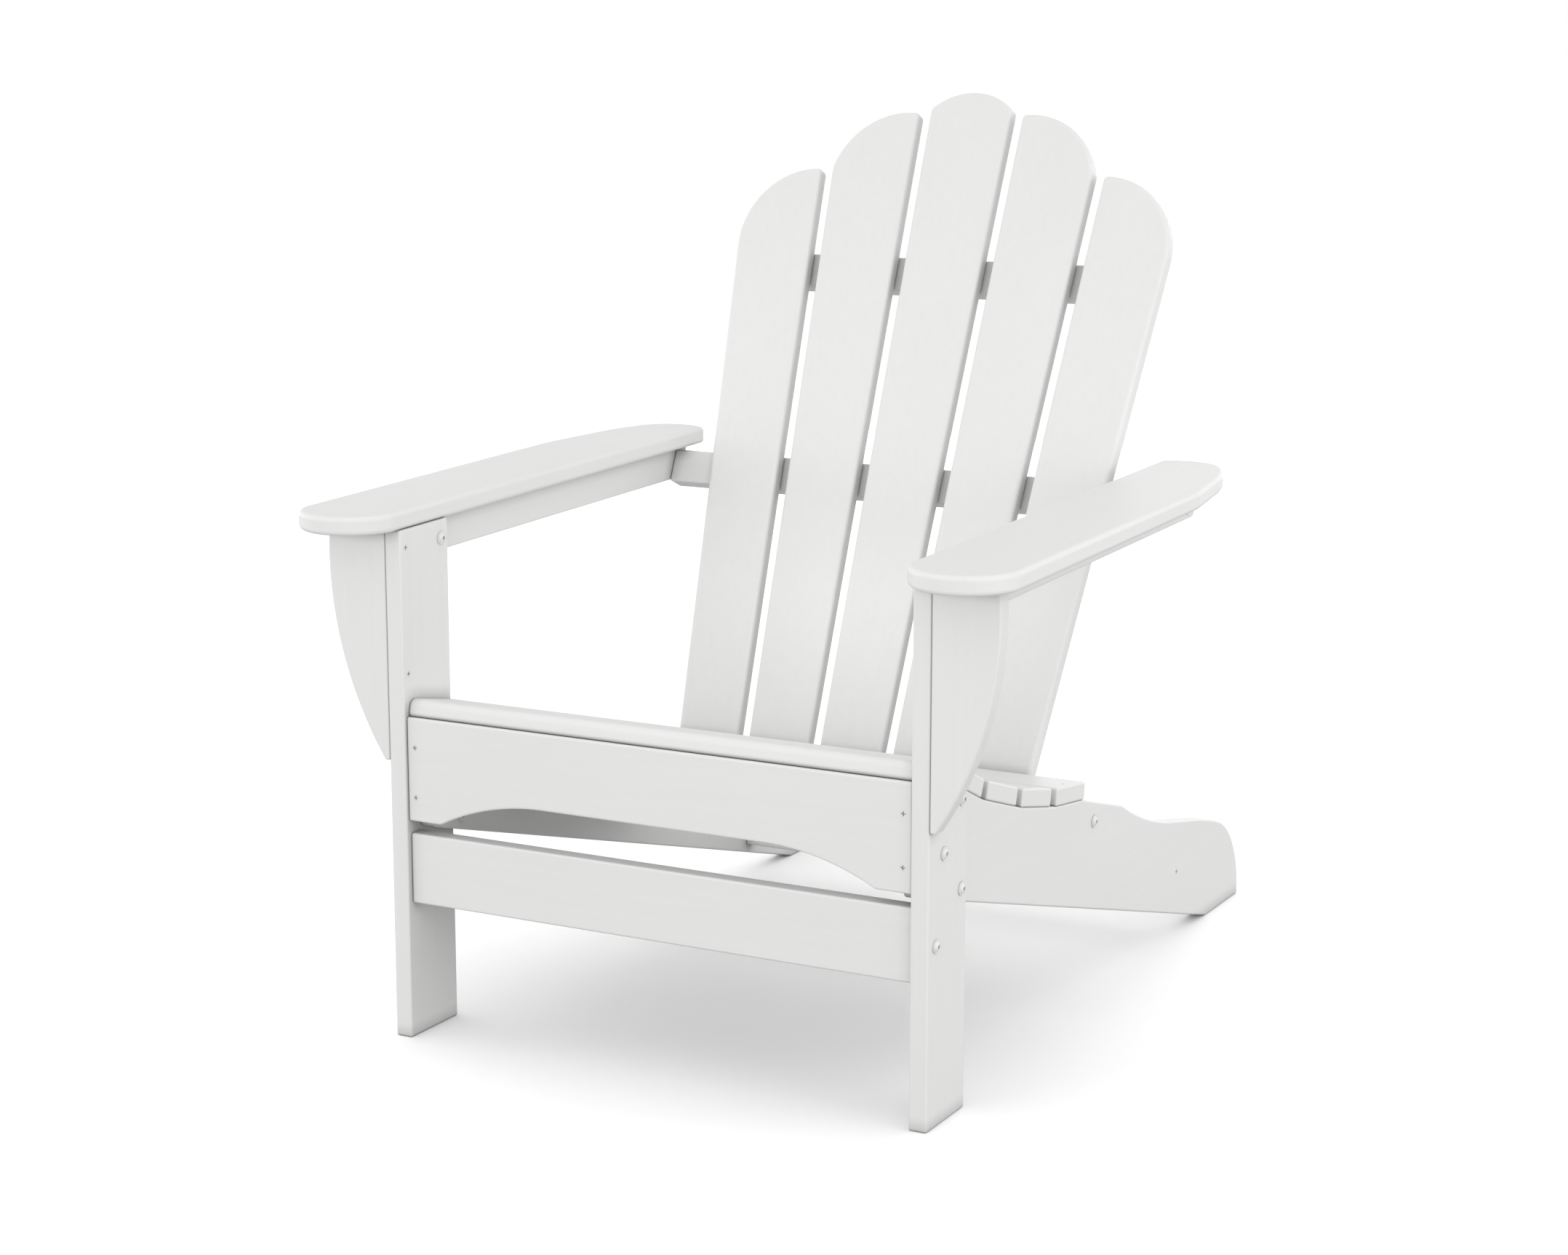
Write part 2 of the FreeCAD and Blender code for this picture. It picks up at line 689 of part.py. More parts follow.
def hex_corners(across_flats):
    """A hexagon about the origin, by its width across flats."""
    radius = f"{across_flats} / sqrt(3)"
    return [(f"{radius} * cos({60 * n} * 1deg)", f"{radius} * sin({60 * n} * 1deg)")
            for n in range(6)]


def bolt(label, length):
    """Flanged button-head bolt with a hexagon recess."""
    rim = "Sizes.bolt_head / 2"
    dome = "Sizes.bolt_dome / 2"
    rise = "(Sizes.bolt_head_height - Sizes.bolt_rim)"
    radius = f"({dome} * {dome} + {rise} * {rise}) / (2 * {rise})"
    body = turned(label, [
        ("0", f"-{length}"),
        ("Sizes.bolt_shank / 2", f"-{length}"),
        ("Sizes.bolt_shank / 2", "0"),
        (rim, "0"),
        (rim, "Sizes.bolt_rim"),
        (dome, "Sizes.bolt_rim", radius),
        ("0", "Sizes.bolt_head_height"),
    ])
    recess = new_sketch(body, "XY_Plane", "Sizes.bolt_head_height")
    outline(recess, hex_corners("Sizes.hex_key"))
    sunk(body, recess, "Sizes.hex_depth")
    return body


def barrel_nut(label):
    """Sleeve nut with a flat flange and a hexagon recess; its bore takes the bolt."""
    body = turned(label, [
        ("0", "Sizes.nut_bore - Sizes.nut_length"),
        ("Sizes.bolt_shank / 2", "Sizes.nut_bore - Sizes.nut_length"),
        ("Sizes.bolt_shank / 2", "-Sizes.nut_length"),
        ("Sizes.nut_sleeve / 2", "-Sizes.nut_length"),
        ("Sizes.nut_sleeve / 2", "0"),
        ("Sizes.nut_head / 2", "0"),
        ("Sizes.nut_head / 2", "Sizes.nut_head_height"),
        ("0", "Sizes.nut_head_height"),
    ])
    recess = new_sketch(body, "XY_Plane", "Sizes.nut_head_height")
    outline(recess, hex_corners("Sizes.hex_key"))
    sunk(body, recess, "Sizes.hex_depth")
    return body


def cross_nut(label):
    """Plain cylinder with a hole across its middle for the bolt."""
    body = new_body(label)
    circle(new_sketch(body, "XY_Plane"), "Sizes.cross_nut / 2")
    pad(body, body.Group[-1], "Sizes.cross_nut_length")
    circle(new_sketch(body, "YZ_Plane"), "Sizes.bolt_shank / 2")
    cut_through(body, body.Group[-1])
    return body


def screw(label, length):
    """Countersunk screw with a cross recess and a pointed tip."""
    shank = "Sizes.screw_shank / 2"
    body = turned(label, [
        ("0", f"-{length}"),
        (shank, f"Sizes.screw_point - {length}"),
        (shank, "-Sizes.screw_head_height"),
        ("Sizes.screw_head / 2", "0"),
        ("0", "0"),
    ])
    slot = "Sizes.cross_slot / 2"
    span = "Sizes.cross_span / 2"
    cross = [(slot, slot), (slot, span), (f"-{slot}", span), (f"-{slot}", slot),
             (f"-{span}", slot), (f"-{span}", f"-{slot}"), (f"-{slot}", f"-{slot}"),
             (f"-{slot}", f"-{span}"), (slot, f"-{span}"), (slot, f"-{slot}"),
             (span, f"-{slot}"), (span, slot)]
    recess = new_sketch(body, "XY_Plane")
    outline(recess, cross)
    sunk(body, recess, "Sizes.cross_depth")
    return body


def straight_drill(label, width, depth, above="0"):
    """A straight hole from a little above the seat down to a depth."""
    radius = f"({width}) / 2"
    return turned(label, [
        ("0", f"-({depth})"),
        (radius, f"-({depth})"),
        (radius, above),
        ("0", above),
    ])


def screw_drill(label, length):
    """A pilot hole with a countersink that the head fills."""
    hole = "Sizes.screw_shank / 2"
    return turned(label, [
        ("0", f"-{length} - Sizes.clearance"),
        (hole, f"-{length} - Sizes.clearance"),
        (hole, "-Sizes.screw_head_height"),
        ("Sizes.screw_head / 2", "0"),
        ("Sizes.screw_head / 2", "Sizes.ease"),
        ("0", "Sizes.ease"),
    ])


sleeve_hole = "Sizes.nut_sleeve + 2 * Sizes.clearance"
shank_hole = "Sizes.bolt_shank + 2 * Sizes.clearance"
leg_bolt = bolt("leg_bolt", "Sizes.leg_bolt_length")
leg_drill = straight_drill("leg_drill", sleeve_hole, "2 * Sizes.board")
arm_bolt = bolt("arm_bolt", "Sizes.arm_bolt_length")
arm_drill = straight_drill("arm_drill", sleeve_hole, "Sizes.board + Sizes.rail_thick")
end_bolt = bolt("end_bolt", "Sizes.end_bolt_length")
end_drill = straight_drill("end_drill", shank_hole, "Sizes.end_bolt_length + Sizes.clearance")
sleeve_nut = barrel_nut("sleeve_nut")
end_nut = cross_nut("end_nut")
end_nut_drill = straight_drill("end_nut_drill", "Sizes.cross_nut + 2 * Sizes.clearance",
                               "Sizes.cross_nut_length / 2 + Sizes.clearance",
                               "Sizes.rail_thick / 2")
short_screw = screw("short_screw", "Sizes.screw_length")
short_drill = screw_drill("short_drill", "Sizes.screw_length")
long_screw = screw("long_screw", "Sizes.arm_screw_length")
long_drill = screw_drill("long_drill", "Sizes.arm_screw_length")

# ---- fasteners in place -----------------------------------------------------------------------

groups = {}


def linked(pattern, at):
    """The pattern put in place again."""
    link = doc.addObject("App::Link", "Placed_" + pattern.Name)
    link.LinkedObject = pattern
    link.setExpression("Placement", at)
    return link


def fasten(label, pattern, hole, places):
    """A group of like fasteners; each place names the boards that its hole goes through."""
    groups[label] = [linked(pattern, at) for at, _ in places]
    for at, through in places:
        if hole:
            cutter = linked(hole, at)
            for board in through:
                drills[board].append(cutter)


def beside(sign, across, rearward, up, outward=True):
    """A place on an upright side face; outward heads point away from the middle."""
    return place(f"{sign} * ({across})", rearward, up, about_y(sign * 90 if outward else -sign * 90))


def both_sides(places):
    """Lists what places(side, sign) gives for the left and the right side."""
    return [item for side, sign in SIDES.items() for item in places(side, sign)]


# legs to stringers: three bolts a side, their nuts on the inner faces
LEG_BOLTS = [
    ("Layout.leg_bolt_rear", "Layout.leg_bolt_high"),
    ("Layout.leg_bolt_front", "(Layout.leg_bolt_high + Layout.leg_bolt_low) / 2"),
    ("Layout.leg_bolt_rear", "Layout.leg_bolt_low"),
]
fasten("leg_bolts", leg_bolt, leg_drill, both_sides(lambda side, sign: [
    (beside(sign, "Layout.leg_outer", y, z), [f"front_leg_{side}", f"stringer_{side}"])
    for y, z in LEG_BOLTS]))
fasten("leg_barrel_nuts", sleeve_nut, None, both_sides(lambda side, sign: [
    (beside(sign, "Layout.stringer_inner", y, z, outward=False), []) for y, z in LEG_BOLTS]))

# legs to arm rails: heads on the inner faces of the legs
ARM_BOLT = ("Layout.leg_bolt_rear", "Layout.arm_bolt_z")
fasten("arm_rail_bolts", arm_bolt, arm_drill, both_sides(lambda side, sign: [
    (beside(sign, "Layout.half", *ARM_BOLT, outward=False),
     [f"front_leg_{side}", f"arm_rail_{side}"])]))
fasten("arm_rail_barrel_nuts", sleeve_nut, None, both_sides(lambda side, sign: [
    (beside(sign, "Layout.rail_outer", *ARM_BOLT), [])]))


def end_joint(name, beam, outer, seat, y, z, turn):
    """A bolt through a side board into each end of a beam, held by a cross nut."""
    fasten(f"{name}_bolts", end_bolt, end_drill, both_sides(lambda side, sign: [
        (beside(sign, seat, y, z), [f"{outer}_{side}", beam])]))
    fasten(f"{name}_cross_nuts", end_nut, end_nut_drill, both_sides(lambda side, sign: [
        (place(f"{sign} * ({seat} - Sizes.cross_nut_reach)", y, z, turn), [beam])]))


def rail_axis(up):
    """Where the middle of a back rail lies, in Y and Z."""
    along = f"({up} + Sizes.rail_height / 2)"
    off = "(Sizes.board + Sizes.rail_thick / 2)"
    return (f"Layout.back_foot + {along} * Layout.back_sin + {off} * Layout.back_cos",
            f"{along} * Layout.back_cos - {off} * Layout.back_sin")


to_rear = about_x("-90")
off_back = about_x("-Sizes.back_tilt - 90")
end_joint("stretcher", "front_stretcher", "front_leg", "Layout.leg_outer",
          "Sizes.stretcher_setback + Sizes.board / 2",
          "Layout.stretcher_top - Sizes.stretcher_height / 2", to_rear)
end_joint("cleat", "back_cleat", "stringer", "Layout.half", *rail_axis("Layout.cleat_up"), off_back)
end_joint("back_rail", "back_rail_lower", "arm_rail", "Layout.rail_outer",
          *rail_axis("Layout.lower_rail_up"), off_back)

# screws: apron to the stringers' ends, brackets through the legs, rear stretcher
fasten("apron_screws", short_screw, short_drill, both_sides(lambda side, sign: [
    (place(f"{sign} * (Layout.half - Sizes.board / 2)", "Sizes.apron_setback",
           f"Sizes.seat_height - {down}", about_x("90")), ["front_apron", f"stringer_{side}"])
    for down in ("Sizes.apron_screw_upper", "Sizes.apron_screw_lower")]))
fasten("bracket_screws", short_screw, short_drill, both_sides(lambda side, sign: [
    (beside(sign, "Layout.half", "Sizes.board / 2", f"Sizes.arm_height - {down}", outward=False),
     [f"front_leg_{side}", f"arm_bracket_{side}"])
    for down in ("Sizes.bracket_screw_upper", "Sizes.bracket_screw_lower")]))
fasten("rear_stretcher_screws", short_screw, short_drill, both_sides(lambda side, sign: [
    (beside(sign, "Layout.half", "Layout.rear_stretcher_y", "Layout.rear_stretcher_z"),
     [f"stringer_{side}", "rear_stretcher"])]))


def on_seat(number, sign):
    """The middle of a seat slat's top, over the stringer."""
    along = "Sizes.slat_width / 2"
    tilt = f"(Sizes.tilt_{number} * 1deg)"
    return place(
        f"{sign} * (Layout.half - Sizes.board / 2)",
        f"Layout.slat_y_{number} + {along} * cos{tilt} + Sizes.board * sin{tilt}",
        f"Layout.slat_z_{number} - {along} * sin{tilt} + Sizes.board * cos{tilt}",
        about_x(f"-Sizes.tilt_{number}"))


fasten("seat_slat_screws", short_screw, short_drill, both_sides(lambda side, sign: [
    (on_seat(number, sign), [f"seat_slat_{number}", f"stringer_{side}"])
    for number in range(1, 6)]))

# two screws where each back slat crosses a rail, from the rear
RAILS = {"back_cleat": "Layout.cleat_up", "back_rail_lower": "Layout.lower_rail_up",
         "back_rail_upper": "Layout.upper_rail_up"}
back_places = []
for rail, up in RAILS.items():
    middle = f"({up} + Sizes.rail_height / 2)"
    for number in range(-2, 3):
        centre = (f"{number} * Layout.back_slat_pitch"
                  f" + {middle} * tan({number} * Sizes.fan_step * 1deg)")
        for way in (-1, 1):
            at = on_back(f"{centre} + {way} * Sizes.back_screw_spread", middle,
                         "Sizes.board + Sizes.rail_thick", " * " + to_rear)
            back_places.append((at, [rail, f"back_slat_{number + 3}"]))
fasten("back_slat_screws", short_screw, short_drill, back_places)

# two long screws up through each arm rail into the arm
fasten("arm_screws", long_screw, long_drill, both_sides(lambda side, sign: [
    (place(f"{sign} * (Layout.leg_outer + Sizes.rail_thick / 2)",
           f"{y} + Sizes.rail_height * sin(Sizes.arm_rise * 1deg)",
           f"Sizes.arm_height + Layout.arm_slope * {y}"
           " - Sizes.rail_height * cos(Sizes.arm_rise * 1deg)",
           about_x("180 + Sizes.arm_rise")), [f"arm_rail_{side}", f"arm_{side}"])
    for y in ("Sizes.arm_screw_front", "Sizes.arm_screw_rear")]))

# ---- finished pieces --------------------------------------------------------------------------

to_middle = place("0", "-Layout.middle", "0")
nodes = []
for label, blank in boards.items():
    holes = doc.addObject("Part::Compound", "Holes_" + label)
    holes.Links = drills[label]
    piece = doc.addObject("Part::Cut", "Piece_" + label)
    piece.Base = blank
    piece.Tool = holes
    piece.Label = label
    nodes.append(piece)
for label, links in groups.items():
    piece = doc.addObject("Part::Compound", "Group_" + label)
    piece.Links = links
    piece.Label = label
    nodes.append(piece)
for piece in nodes:
    piece.setExpression("Placement", to_middle)
doc.recompute()

# ---- checks and files -------------------------------------------------------------------------

for item in doc.Objects:
    if "Invalid" in item.State or "Error" in item.State:
        raise RuntimeError(f"{item.Label} failed: {item.State}")
for piece in nodes:
    if piece.Shape.isNull() or not piece.Shape.isValid():
        raise RuntimeError(f"{piece.Label} has no valid shape")

os.makedirs("parts", exist_ok=True)
for piece in nodes:
    piece.Shape.exportStep(f"parts/{piece.Label}.step")
print(len(nodes), "nodes")
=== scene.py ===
import math

import bpy
from mathutils import Matrix, Vector

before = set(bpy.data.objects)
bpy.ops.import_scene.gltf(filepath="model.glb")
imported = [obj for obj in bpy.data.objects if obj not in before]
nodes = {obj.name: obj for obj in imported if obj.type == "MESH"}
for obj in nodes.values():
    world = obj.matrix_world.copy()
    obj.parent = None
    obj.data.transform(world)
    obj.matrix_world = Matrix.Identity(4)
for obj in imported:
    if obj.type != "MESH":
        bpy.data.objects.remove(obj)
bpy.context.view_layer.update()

# ---- camera -----------------------------------------------------------------------------------
# Eye a little above the chair's top, three metres in front and to the sitter's left,
# looking slightly down.

EYE = Vector((1.4779, -2.91645, 1.0403))
TURN = math.radians(28.063)
DOWN = math.radians(11.352)
ROLL = math.radians(0.042)
LENS = 70.408
SENSOR = 36
SIGHT = 200

camera_data = bpy.data.cameras.new("camera")
camera_data.lens = LENS
camera_data.sensor_width = SENSOR
camera_data.clip_end = SIGHT
camera = bpy.data.objects.new("camera", camera_data)
bpy.context.collection.objects.link(camera)
camera.matrix_world = (
    Matrix.Translation(EYE)
    @ Matrix.Rotation(TURN, 4, "Z")
    @ Matrix.Rotation(math.pi / 2 - DOWN, 4, "X")
    @ Matrix.Rotation(ROLL, 4, "Z")
)
bpy.context.scene.camera = camera

# ---- studio -----------------------------------------------------------------------------------
# A white room: even pale light from above and a wide soft panel on each side. The floor is
# white to the eye, but it throws back less light, so that undersides and seams stay grey.

bpy.context.scene.view_settings.view_transform = "Standard"
bpy.context.scene.view_settings.look = "None"

ROOM_LIGHT = 0.895
ROOM_SEEN = 1.0
FLOOR_SEEN = 1.14
FLOOR_BOUNCE = 0.42
FLOOR_REACH = 60
PANEL_WIDTH = 4.0
PANEL_HEIGHT = 1.6
PANEL_REACH = 4.0
PANEL_POWERS = {"front": 40, "left": 45, "rear": 34, "right": 40}


def seen_or_lit(tree, kind, output, seen, lit):
    """Two shaders of a kind: one that the camera sees, and one that lights the scene."""
    choice = tree.nodes.new("ShaderNodeMixShader")
    rays = tree.nodes.new("ShaderNodeLightPath")
    tree.links.new(rays.outputs["Is Camera Ray"], choice.inputs[0])
    for socket, level in ((choice.inputs[1], lit), (choice.inputs[2], seen)):
        shader = tree.nodes.new(kind)
        shader.inputs["Color"].default_value = (level, level, level, 1)
        tree.links.new(shader.outputs[0], socket)
    tree.links.new(choice.outputs[0], tree.nodes[output].inputs["Surface"])


world = bpy.data.worlds.new("white_room")
bpy.context.scene.world = world
world.use_nodes = True
seen_or_lit(world.node_tree, "ShaderNodeBackground", "World Output", ROOM_SEEN, ROOM_LIGHT)

for quarter, (side, power) in enumerate(PANEL_POWERS.items()):
    panel_data = bpy.data.lights.new(f"{side}_panel", "AREA")
    panel_data.shape = "RECTANGLE"
    panel_data.size = PANEL_WIDTH
    panel_data.size_y = PANEL_HEIGHT
    panel_data.energy = power
    panel = bpy.data.objects.new(f"{side}_panel", panel_data)
    panel.visible_camera = False
    bpy.context.collection.objects.link(panel)
    panel.matrix_world = (
        Matrix.Rotation(quarter * math.pi / 2, 4, "Z")
        @ Matrix.Translation((0, -PANEL_REACH, PANEL_HEIGHT / 2))
        @ Matrix.Rotation(math.pi / 2, 4, "X")
    )

bpy.ops.mesh.primitive_plane_add(size=FLOOR_REACH, location=(0, 0, 0))
floor = bpy.context.object
floor.name = "floor"
floor_paint = bpy.data.materials.new("floor_paint")
floor_paint.use_nodes = True
seen_or_lit(floor_paint.node_tree, "ShaderNodeBsdfDiffuse", "Material Output",
            FLOOR_SEEN, FLOOR_BOUNCE)
floor.data.materials.append(floor_paint)

# ---- boards -----------------------------------------------------------------------------------
# White plastic lumber, pressed through a die: a soft satin skin with a fine stipple, and long
# faint drawn lines that run the length of each board.

PALE = (0.815, 0.815, 0.81, 1)
SHADE = (0.797, 0.797, 0.79, 1)
SMOOTH = 0.4
DULL = 0.6
STIPPLE_SCALE = 900
STREAK_SCALE = 160
MOTTLE_SCALE = 9
STREAK_STRETCH = (0.03, 1, 1)
MOTTLE_STRETCH = (0.5, 1, 1)
STREAK_TONE = 0.55
MOTTLE_TONE = 0.45
DARKEST_TONE = 0.35
PALEST_TONE = 0.65
STIPPLE_DULL = 0.5
STREAK_DULL = 0.5
STREAK_HEIGHT = 0.5

plastic_skin = bpy.data.node_groups.new("plastic_skin", "ShaderNodeTree")
for name, kind, default in (
    ("Along", "NodeSocketVector", (0, 0, 0)),
    ("Stipple", "NodeSocketFloat", STIPPLE_SCALE),
    ("Streak", "NodeSocketFloat", STREAK_SCALE),
    ("Mottle", "NodeSocketFloat", MOTTLE_SCALE),
    ("Pale", "NodeSocketColor", PALE),
    ("Shade", "NodeSocketColor", SHADE),
    ("Smooth", "NodeSocketFloat", SMOOTH),
    ("Dull", "NodeSocketFloat", DULL),
):
    socket = plastic_skin.interface.new_socket(name, in_out="INPUT", socket_type=kind)
    socket.default_value = default
for name, kind in (("Color", "NodeSocketColor"), ("Roughness", "NodeSocketFloat"),
                   ("Height", "NodeSocketFloat")):
    plastic_skin.interface.new_socket(name, in_out="OUTPUT", socket_type=kind)


def skin_node(kind, **settings):
    """A node in the skin group with its settings."""
    node = plastic_skin.nodes.new(kind)
    for name, setting in settings.items():
        setattr(node, name, setting)
    return node


def skin_link(source, target):
    plastic_skin.links.new(source, target)


skin_in = skin_node("NodeGroupInput")
skin_out = skin_node("NodeGroupOutput")


def skin_noise(scale, detail, stretch):
    """Noise over the board, stretched along it."""
    stretched = skin_node("ShaderNodeVectorMath", operation="MULTIPLY")
    skin_link(skin_in.outputs["Along"], stretched.inputs[0])
    stretched.inputs[1].default_value = stretch
    noise = skin_node("ShaderNodeTexNoise")
    skin_link(stretched.outputs[0], noise.inputs["Vector"])
    skin_link(skin_in.outputs[scale], noise.inputs["Scale"])
    noise.inputs["Detail"].default_value = detail
    return noise.outputs["Fac"]


def skin_math(operation, first, second):
    """A sum or product of two values."""
    node = skin_node("ShaderNodeMath", operation=operation)
    for socket, source in zip(node.inputs, (first, second)):
        if isinstance(source, (int, float)):
            socket.default_value = source
        else:
            skin_link(source, socket)
    return node.outputs[0]


def skin_sum(first, share, second, other_share):
    """Two values added in their shares."""
    return skin_math("ADD", skin_math("MULTIPLY", first, share),
                     skin_math("MULTIPLY", second, other_share))


stipple = skin_noise("Stipple", detail=2, stretch=(1, 1, 1))
streak = skin_noise("Streak", detail=3, stretch=STREAK_STRETCH)
mottle = skin_noise("Mottle", detail=2, stretch=MOTTLE_STRETCH)

spread = skin_node("ShaderNodeMapRange")
spread.inputs["From Min"].default_value = DARKEST_TONE
spread.inputs["From Max"].default_value = PALEST_TONE
skin_link(skin_sum(streak, STREAK_TONE, mottle, MOTTLE_TONE), spread.inputs["Value"])
blend_tone = skin_node("ShaderNodeMix", data_type="RGBA")
skin_link(spread.outputs[0], blend_tone.inputs["Factor"])
skin_link(skin_in.outputs["Shade"], blend_tone.inputs[6])
skin_link(skin_in.outputs["Pale"], blend_tone.inputs[7])
skin_link(blend_tone.outputs[2], skin_out.inputs["Color"])

blend_rough = skin_node("ShaderNodeMix", data_type="FLOAT")
skin_link(skin_sum(stipple, STIPPLE_DULL, streak, STREAK_DULL), blend_rough.inputs["Factor"])
skin_link(skin_in.outputs["Smooth"], blend_rough.inputs[2])
skin_link(skin_in.outputs["Dull"], blend_rough.inputs[3])
skin_link(blend_rough.outputs[0], skin_out.inputs["Roughness"])

skin_link(skin_math("ADD", stipple, skin_math("MULTIPLY", streak, STREAK_HEIGHT)),
          skin_out.inputs["Height"])

# painted shade: the colour is darkened in seams, corners and recesses, where other surfaces come
# close and shade falls
seam_shade = bpy.data.node_groups.new("seam_shade", "ShaderNodeTree")
seam_shade.interface.new_socket("Color", in_out="INPUT", socket_type="NodeSocketColor")
for name in ("Open", "Dark"):
    seam_shade.interface.new_socket(name, in_out="INPUT", socket_type="NodeSocketFloat")
seam_shade.interface.new_socket("Color", in_out="OUTPUT", socket_type="NodeSocketColor")
seam_in = seam_shade.nodes.new("NodeGroupInput")
seam_out = seam_shade.nodes.new("NodeGroupOutput")
seam_level = seam_shade.nodes.new("ShaderNodeMapRange")
seam_scale = seam_shade.nodes.new("ShaderNodeVectorMath")
seam_scale.operation = "SCALE"
for source, target in (
    (seam_in.outputs["Open"], seam_level.inputs["Value"]),
    (seam_in.outputs["Dark"], seam_level.inputs["To Min"]),
    (seam_level.outputs[0], seam_scale.inputs["Scale"]),
    (seam_in.outputs["Color"], seam_scale.inputs[0]),
    (seam_scale.outputs[0], seam_out.inputs["Color"]),
):
    seam_shade.links.new(source, target)


def paint_seam_shade(tree, color, reach, dark):
    """Painted shade: the colour, darkened where other surfaces come closer than the reach."""
    seam = tree.nodes.new("ShaderNodeAmbientOcclusion")
    seam.inputs["Distance"].default_value = reach
    shade = tree.nodes.new("ShaderNodeGroup")
    shade.node_tree = seam_shade
    shade.inputs["Dark"].default_value = dark
    tree.links.new(seam.outputs["AO"], shade.inputs["Open"])
    tree.links.new(color, shade.inputs["Color"])
    return shade.outputs["Color"]


RELIEF = 0.00004
SEAM_REACH = 0.016
SEAM_SHADE_DARK = 0.42
PLASTIC_IOR = 1.5
SHEEN = 0.2


def lumber(name, turn):
    """White lumber whose drawn lines run along X after the pattern is turned."""
    material = bpy.data.materials.new(name)
    material.use_nodes = True
    tree = material.node_tree
    shader = tree.nodes["Principled BSDF"]
    where = tree.nodes.new("ShaderNodeTexCoord")
    turned = tree.nodes.new("ShaderNodeMapping")
    turned.vector_type = "TEXTURE"
    turned.inputs["Rotation"].default_value = turn
    skin = tree.nodes.new("ShaderNodeGroup")
    skin.node_tree = plastic_skin
    bump = tree.nodes.new("ShaderNodeBump")
    bump.inputs["Distance"].default_value = RELIEF
    tree.links.new(where.outputs["Object"], turned.inputs["Vector"])
    tree.links.new(turned.outputs["Vector"], skin.inputs["Along"])
    # painted shade: the board colour darkens within 16 mm of other surfaces, on slat sides,
    # undersides and seams
    seam_shaded_color = paint_seam_shade(tree, skin.outputs["Color"], SEAM_REACH, SEAM_SHADE_DARK)
    tree.links.new(seam_shaded_color, shader.inputs["Base Color"])
    tree.links.new(skin.outputs["Roughness"], shader.inputs["Roughness"])
    tree.links.new(skin.outputs["Height"], bump.inputs["Height"])
    tree.links.new(bump.outputs["Normal"], shader.inputs["Normal"])
    shader.inputs["IOR"].default_value = PLASTIC_IOR
    shader.inputs["Specular IOR Level"].default_value = SHEEN
    return material


def coat(node, material):
    """Gives a frame piece its finish, whatever slots it has."""
    if not nodes[node].material_slots:
        nodes[node].data.materials.append(material)
    for slot in nodes[node].material_slots:
        slot.material = material


QUARTER = math.pi / 2
BACK_TILT = math.radians(23.553)
FAN_STEP = math.radians(2)
STRINGER_TILT = math.radians(15.9)
SEAT_SLATS = 5
BACK_SLATS = 5
MIDDLE_SLAT = 3

across = lumber("lumber_across", (0, 0, 0))
rearward = lumber("lumber_rearward", (0, 0, QUARTER))
upright = lumber("lumber_upright", (0, -QUARTER, 0))
for name in ("front_apron", "front_stretcher", "rear_stretcher", "back_cleat",
             "back_rail_lower", "back_rail_upper"):
    coat(name, across)
for number in range(1, SEAT_SLATS + 1):
    coat(f"seat_slat_{number}", across)
for side in ("left", "right"):
    coat(f"front_leg_{side}", upright)
    coat(f"arm_bracket_{side}", upright)
    coat(f"arm_{side}", rearward)
    coat(f"arm_rail_{side}", rearward)
    coat(f"stringer_{side}", lumber(f"lumber_stringer_{side}", (-STRINGER_TILT, 0, QUARTER)))
for number in range(1, BACK_SLATS + 1):
    fan = (number - MIDDLE_SLAT) * FAN_STEP
    coat(f"back_slat_{number}",
         lumber(f"lumber_back_{number}", (-BACK_TILT, fan - QUARTER, 0)))

# ---- fasteners --------------------------------------------------------------------------------
# Bolts and sleeve nuts are powder coated to match the boards, screws have a thin white coat,
# and the hidden cross nuts are bare zinc; all of them get painted shade in their recesses.

DARKEST_GRAIN = 0.92
DULL_SPREAD = 0.08

metal_skin = bpy.data.node_groups.new("metal_skin", "ShaderNodeTree")
for name, kind in (("Place", "NodeSocketVector"), ("Grain", "NodeSocketFloat"),
                   ("Tint", "NodeSocketColor"), ("Dull", "NodeSocketFloat")):
    metal_skin.interface.new_socket(name, in_out="INPUT", socket_type=kind)
for name, kind in (("Color", "NodeSocketColor"), ("Roughness", "NodeSocketFloat"),
                   ("Height", "NodeSocketFloat")):
    metal_skin.interface.new_socket(name, in_out="OUTPUT", socket_type=kind)
metal_in = metal_skin.nodes.new("NodeGroupInput")
metal_out = metal_skin.nodes.new("NodeGroupOutput")
metal_grain = metal_skin.nodes.new("ShaderNodeTexNoise")
metal_tone = metal_skin.nodes.new("ShaderNodeMapRange")
metal_tone.inputs["To Min"].default_value = DARKEST_GRAIN
metal_tint = metal_skin.nodes.new("ShaderNodeVectorMath")
metal_tint.operation = "SCALE"
metal_spread = metal_skin.nodes.new("ShaderNodeMapRange")
metal_spread.inputs["To Min"].default_value = -DULL_SPREAD
metal_spread.inputs["To Max"].default_value = DULL_SPREAD
metal_rough = metal_skin.nodes.new("ShaderNodeMath")
metal_rough.operation = "ADD"
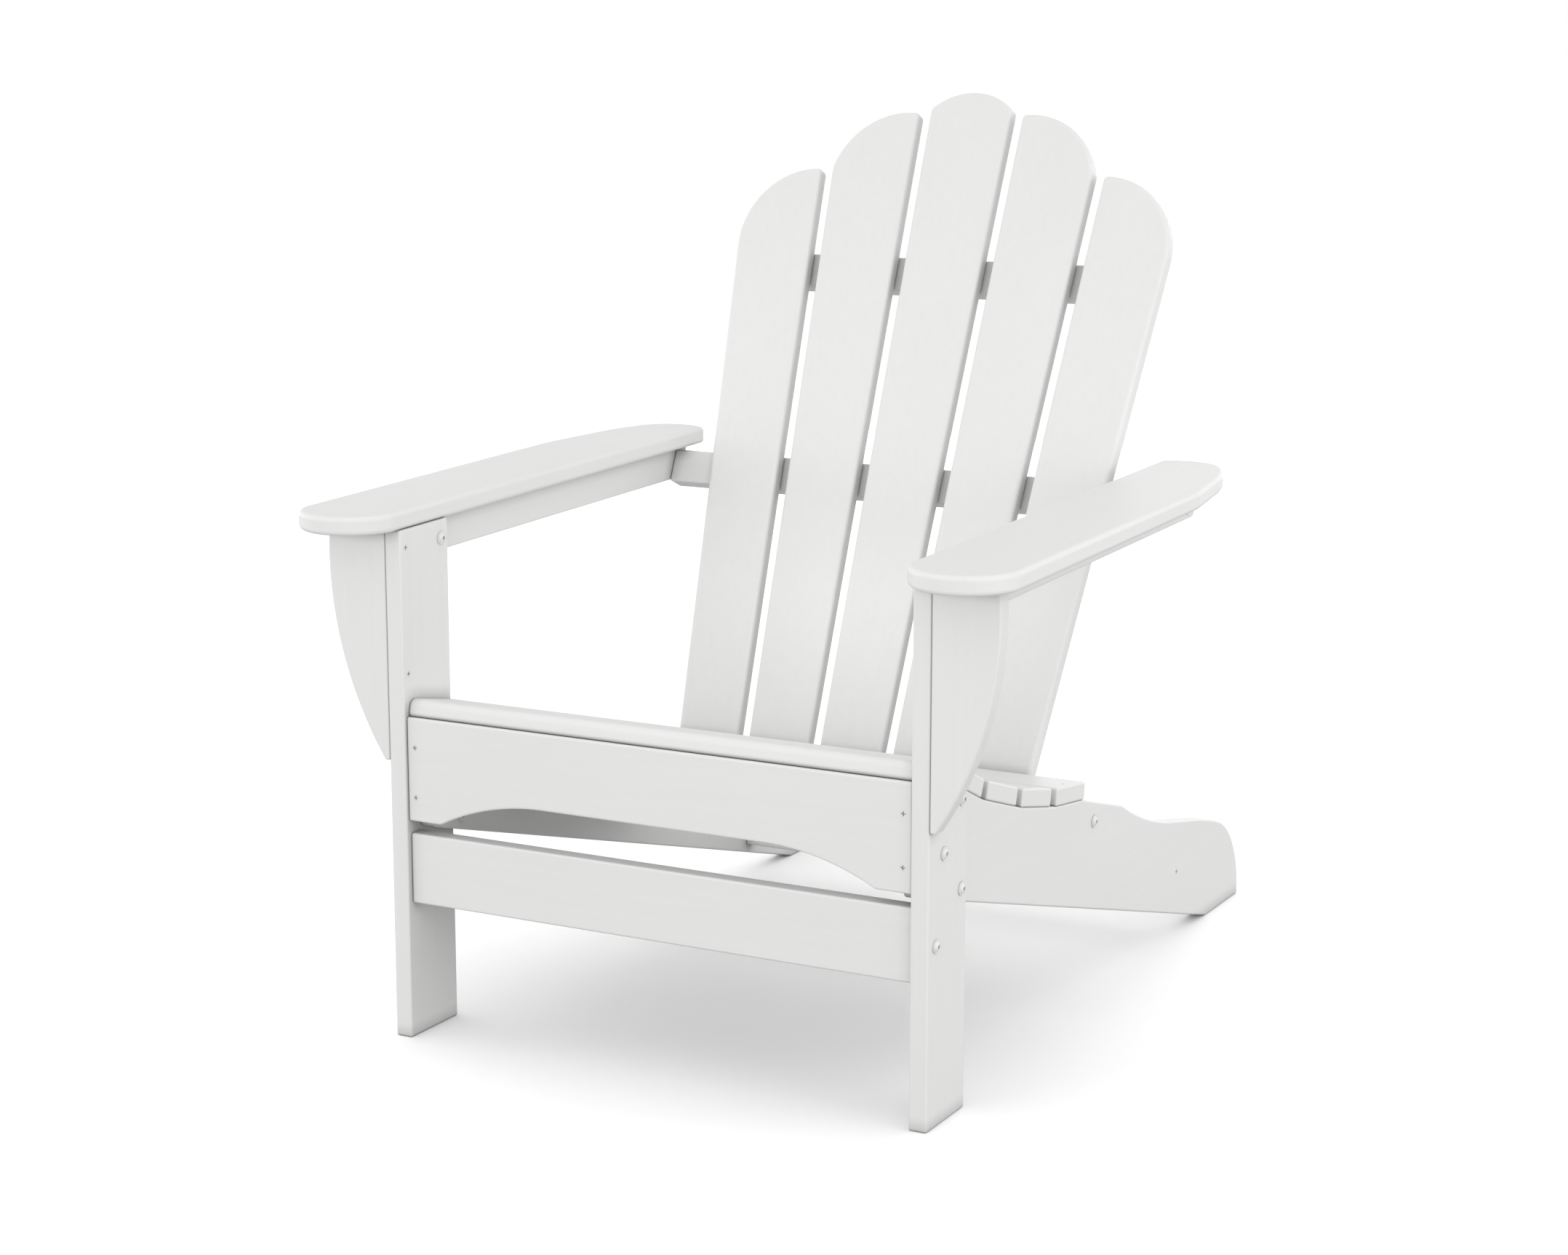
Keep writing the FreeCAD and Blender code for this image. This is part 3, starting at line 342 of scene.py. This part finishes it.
for source, target in (
    (metal_in.outputs["Place"], metal_grain.inputs["Vector"]),
    (metal_in.outputs["Grain"], metal_grain.inputs["Scale"]),
    (metal_grain.outputs["Fac"], metal_tone.inputs["Value"]),
    (metal_in.outputs["Tint"], metal_tint.inputs[0]),
    (metal_tone.outputs[0], metal_tint.inputs["Scale"]),
    (metal_grain.outputs["Fac"], metal_spread.inputs["Value"]),
    (metal_in.outputs["Dull"], metal_rough.inputs[0]),
    (metal_spread.outputs[0], metal_rough.inputs[1]),
    (metal_tint.outputs[0], metal_out.inputs["Color"]),
    (metal_rough.outputs[0], metal_out.inputs["Roughness"]),
    (metal_grain.outputs["Fac"], metal_out.inputs["Height"]),
):
    metal_skin.links.new(source, target)

RECESS_REACH = 0.002
RECESS_SHADE_DARK = 0.42
METAL_RELIEF = 0.00004
COAT_GRAIN = 1500
ZINC_GRAIN = 700


def fastener_finish(name, tint, dull, metallic, grain):
    """A coated or plated metal with a fine grain and painted shade darkening its recesses."""
    material = bpy.data.materials.new(name)
    material.use_nodes = True
    tree = material.node_tree
    shader = tree.nodes["Principled BSDF"]
    where = tree.nodes.new("ShaderNodeTexCoord")
    skin = tree.nodes.new("ShaderNodeGroup")
    skin.node_tree = metal_skin
    skin.inputs["Grain"].default_value = grain
    skin.inputs["Tint"].default_value = tint
    skin.inputs["Dull"].default_value = dull
    bump = tree.nodes.new("ShaderNodeBump")
    bump.inputs["Distance"].default_value = METAL_RELIEF
    tree.links.new(where.outputs["Object"], skin.inputs["Place"])
    # painted shade: the colour darkens where other surfaces come within 2 mm, as in slots and
    # around heads
    seam_shaded_color = paint_seam_shade(tree, skin.outputs["Color"], RECESS_REACH, RECESS_SHADE_DARK)
    tree.links.new(seam_shaded_color, shader.inputs["Base Color"])
    tree.links.new(skin.outputs["Roughness"], shader.inputs["Roughness"])
    tree.links.new(skin.outputs["Height"], bump.inputs["Height"])
    tree.links.new(bump.outputs["Normal"], shader.inputs["Normal"])
    shader.inputs["Metallic"].default_value = metallic
    return material


coated = fastener_finish("bolt_coat", tint=(0.84, 0.84, 0.835, 1), dull=0.42,
                         metallic=0.0, grain=COAT_GRAIN)
painted = fastener_finish("screw_coat", tint=(0.80, 0.80, 0.795, 1), dull=0.45,
                          metallic=0.1, grain=COAT_GRAIN)
zinc = fastener_finish("bare_zinc", tint=(0.55, 0.55, 0.56, 1), dull=0.35,
                       metallic=1.0, grain=ZINC_GRAIN)
for name in nodes:
    if name.endswith("cross_nuts"):
        coat(name, zinc)
    elif name.endswith("screws"):
        coat(name, painted)
    elif name.endswith(("bolts", "barrel_nuts")):
        coat(name, coated)
